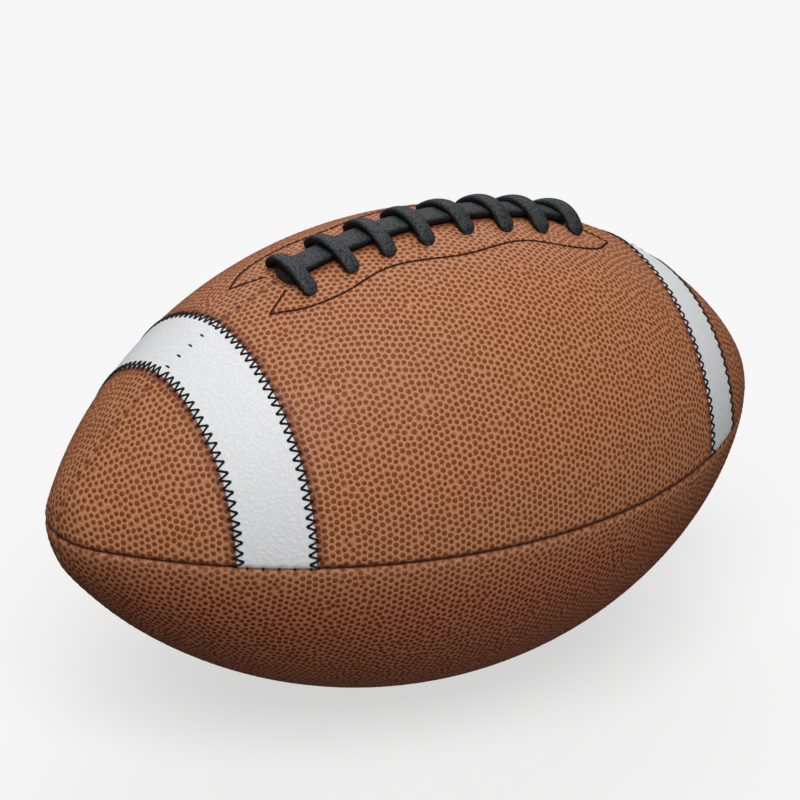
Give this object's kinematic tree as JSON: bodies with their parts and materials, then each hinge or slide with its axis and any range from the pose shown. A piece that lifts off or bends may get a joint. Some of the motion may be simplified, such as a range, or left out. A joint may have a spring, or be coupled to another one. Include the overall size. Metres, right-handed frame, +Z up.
{
  "type": "american football",
  "caption": "Laced american football of sewn pebbled panels with white stripes over a lining, a bladder and a valve.",
  "frame": {"origin": "lowest point of the bottom seam, under the middle of the ball", "axes": "+X along the ball to the right nose, +Z up through the lacing, -Y to the front side"},
  "size_m": [0.2898, 0.1694, 0.1754],
  "materials": {
    "panel_leather": "pebbled, satin",
    "stripe_leather": "fine grain, satin",
    "lace_leather": "grained, satin",
    "thread": "waxed thread",
    "lining_cloth": "woven cotton",
    "bladder_rubber": "matte",
    "valve_rubber": "matte"
  },
  "bodies": {
    "root": {"lace_panel_front": "panel_leather", "lace_panel_back": "panel_leather", "bottom_panel_front": "panel_leather", "bottom_panel_back": "panel_leather", "lace_lining_front": "lining_cloth", "lace_lining_back": "lining_cloth", "bottom_lining_front": "lining_cloth", "bottom_lining_back": "lining_cloth", "lace_facing_front": "lining_cloth", "lace_facing_back": "lining_cloth", "stripe_front_left": "stripe_leather", "stripe_front_right": "stripe_leather", "stripe_back_left": "stripe_leather", "stripe_back_right": "stripe_leather", "stripe_thread_front_left_inner": "thread", "stripe_thread_front_left_outer": "thread", "stripe_thread_front_right_inner": "thread", "stripe_thread_front_right_outer": "thread", "stripe_thread_back_left_inner": "thread", "stripe_thread_back_left_outer": "thread", "stripe_thread_back_right_inner": "thread", "stripe_thread_back_right_outer": "thread", "seam_thread_lace_left": "thread", "seam_thread_lace_right": "thread", "seam_thread_front": "thread", "seam_thread_back": "thread", "seam_thread_bottom": "thread", "facing_thread_front": "thread", "facing_thread_back": "thread", "lace": "lace_leather", "lace_strap": "lace_leather", "lace_tongue": "lining_cloth", "bladder": "bladder_rubber", "valve_body": "valve_rubber", "valve_core": "valve_rubber"}
  },
  "joints": []
}
